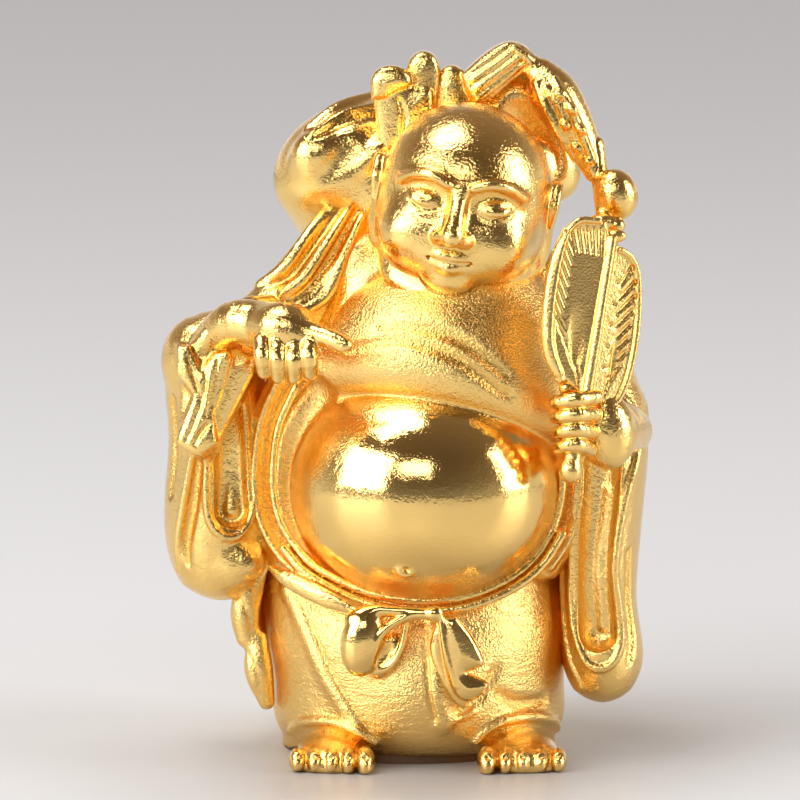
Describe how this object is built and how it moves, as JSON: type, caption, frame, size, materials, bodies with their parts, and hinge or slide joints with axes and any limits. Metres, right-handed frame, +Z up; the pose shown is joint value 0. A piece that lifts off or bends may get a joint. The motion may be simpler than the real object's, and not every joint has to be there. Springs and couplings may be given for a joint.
{
  "type": "gilded lucky-god figurine",
  "caption": "Gilded cast metal ornament of a standing, pot-bellied, robed figure with a leaf-shaped fan in one hand and a large gathered sack behind its head.",
  "frame": {"origin": "middle of the flat underside on which the figurine stands", "axes": "+Z up through the figure, -Y the way the figure faces, +X its left-hand side"},
  "size_m": [0.0439, 0.0346, 0.0637],
  "materials": {
    "polished_gold": "gold plated, polished",
    "satin_gold": "gold plated, fine satin",
    "bare_brass": "plain drawn"
  },
  "bodies": {
    "root": {"torso": "polished_gold", "head": "polished_gold", "right_hand": "polished_gold", "left_hand": "polished_gold", "fan": "polished_gold", "sash": "polished_gold", "bow": "polished_gold", "sack": "polished_gold", "sack_mouth": "polished_gold", "sack_tie": "polished_gold", "trousers": "satin_gold", "robe": "satin_gold", "right_sleeve": "satin_gold", "left_sleeve": "satin_gold", "right_foot": "satin_gold", "left_foot": "satin_gold", "base_plate": "satin_gold", "neck_pin": "bare_brass", "sack_pins": "bare_brass", "sleeve_pins": "bare_brass", "foot_pins": "bare_brass"}
  },
  "joints": []
}
